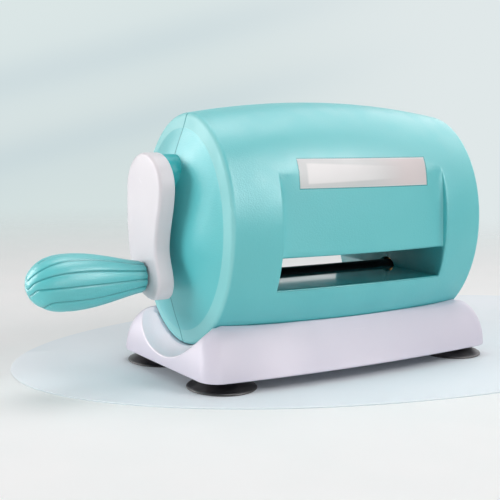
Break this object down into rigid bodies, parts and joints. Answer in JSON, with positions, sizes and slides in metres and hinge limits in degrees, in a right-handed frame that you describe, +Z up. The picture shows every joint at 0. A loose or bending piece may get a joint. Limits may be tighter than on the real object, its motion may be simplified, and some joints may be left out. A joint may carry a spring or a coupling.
{
  "type": "die cutting machine",
  "caption": "Small hand-cranked die cutting and embossing machine: two geared rollers in a barrel-shaped plastic housing on a base with suction cups.",
  "frame": {"origin": "on the table under the middle of the overall box, from the grip's tip to the far end of the base", "axes": "+X along the rollers, away from the crank; -Y the side with the apron and the die slot's front; +Z up"},
  "size_m": [0.2232, 0.0864, 0.1186],
  "materials": {
    "teal_plastic": "satin moulded, fine grain",
    "white_plastic": "satin moulded, fine grain",
    "label_silver": "printed film, bare",
    "cup_rubber": "soft",
    "roller_black": "black oxide",
    "steel": "zinc plated",
    "bronze": "sintered",
    "nylon": "natural"
  },
  "bodies": {
    "body": {"base": "white_plastic", "front_shell": "teal_plastic", "rear_shell": "teal_plastic", "label_plate": "label_silver", "left_frame": "steel", "right_frame": "steel", "gear_plate": "steel", "gear_spacers": "steel", "upper_front_tie_rod": "steel", "upper_rear_tie_rod": "steel", "lower_front_tie_rod": "steel", "lower_rear_tie_rod": "steel", "frame_screws": "steel", "gear_plate_screws": "steel", "upper_left_bush": "bronze", "upper_right_bush": "bronze", "upper_outer_bush": "bronze", "lower_left_bush": "bronze", "lower_right_bush": "bronze", "crank_inner_bush": "bronze", "crank_outer_bush": "bronze", "front_left_cup": "cup_rubber", "front_right_cup": "cup_rubber", "rear_left_cup": "cup_rubber", "rear_right_cup": "cup_rubber", "base_screws": "steel", "base_nuts": "steel", "shell_screws": "steel"},
    "crank": {"crank_arm": "white_plastic", "crank_hub": "teal_plastic", "crank_shaft": "steel", "crank_pinion": "steel", "hub_pin": "steel", "shaft_clip": "steel", "grip_axle": "steel"},
    "handle": {"grip": "teal_plastic", "grip_sleeve": "nylon"},
    "upper_roll": {"upper_roller": "roller_black", "drive_gear": "nylon", "upper_sync_gear": "nylon", "upper_clip": "steel"},
    "lower_roll": {"lower_roller": "roller_black", "lower_sync_gear": "nylon", "lower_clip": "steel"}
  },
  "joints": [
    {"name": "crank_turn", "type": "hinge", "parent": "body", "child": "crank", "pos_m": [-0.0561, 0, 0.088], "axis": [1, 0, 0], "continuous": true},
    {"name": "grip_spin", "type": "hinge", "parent": "crank", "child": "handle", "pos_m": [-0.0791, -0.00225, 0.04506], "axis": [1, 0, 0], "continuous": true},
    {"name": "upper_roller_spin", "type": "hinge", "parent": "body", "child": "upper_roll", "pos_m": [0.0309, 0, 0.0575], "axis": [1, 0, 0], "continuous": true},
    {"name": "lower_roller_spin", "type": "hinge", "parent": "body", "child": "lower_roll", "pos_m": [0.0309, 0, 0.0385], "axis": [1, 0, 0], "continuous": true}
  ],
  "couplings": [
    {"joint": "upper_roller_spin", "follows": "crank_turn", "ratio": -0.29787},
    {"joint": "lower_roller_spin", "follows": "crank_turn", "ratio": 0.29787}
  ]
}
